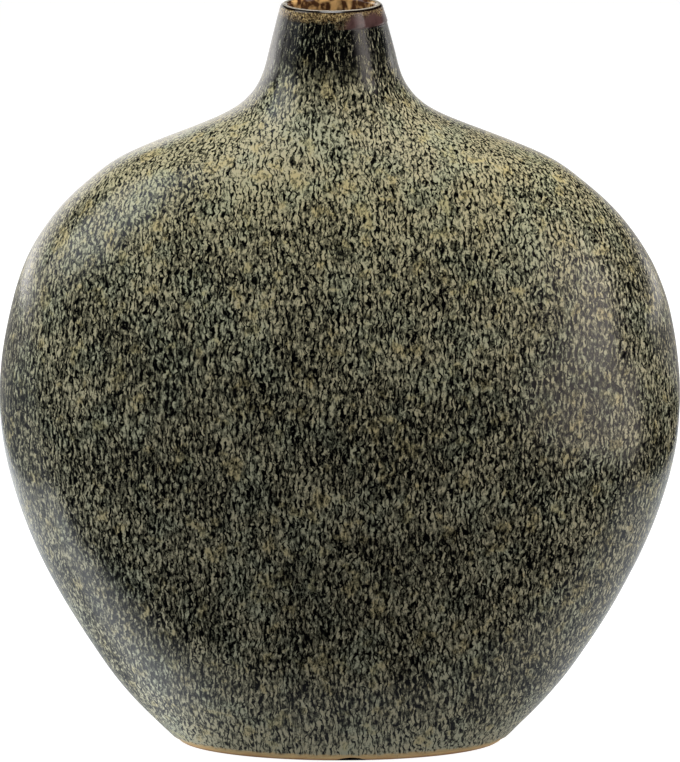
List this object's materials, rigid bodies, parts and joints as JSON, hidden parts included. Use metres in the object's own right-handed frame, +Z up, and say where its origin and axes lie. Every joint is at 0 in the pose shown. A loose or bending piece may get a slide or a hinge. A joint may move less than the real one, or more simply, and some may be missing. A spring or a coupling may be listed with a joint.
{
  "type": "bottle vase",
  "caption": "Flattened bottle vase in streaked reactive-glazed stoneware, with a wide oval body, a narrow round neck and an oval foot ring; holds water and stems.",
  "frame": {"origin": "middle of the oval foot, on the surface that the vase stands on", "axes": "+Z up through the mouth, +X to the right of someone facing the front, front wall towards -Y"},
  "size_m": [0.3007, 0.1443, 0.3335],
  "materials": {
    "stoneware": "bare fired stoneware, matte and slightly sandy",
    "outer_glaze": "glossy reactive glaze, pale olive streaks and specks run over a blue-black ground",
    "liner_glaze": "glossy golden brown liner glaze with dark runs"
  },
  "bodies": {
    "root": {"front_wall": "stoneware", "back_wall": "stoneware", "base_slab": "stoneware", "foot_ring": "stoneware", "neck": "stoneware", "outer_glaze": "outer_glaze", "liner_glaze": "liner_glaze"}
  },
  "joints": []
}
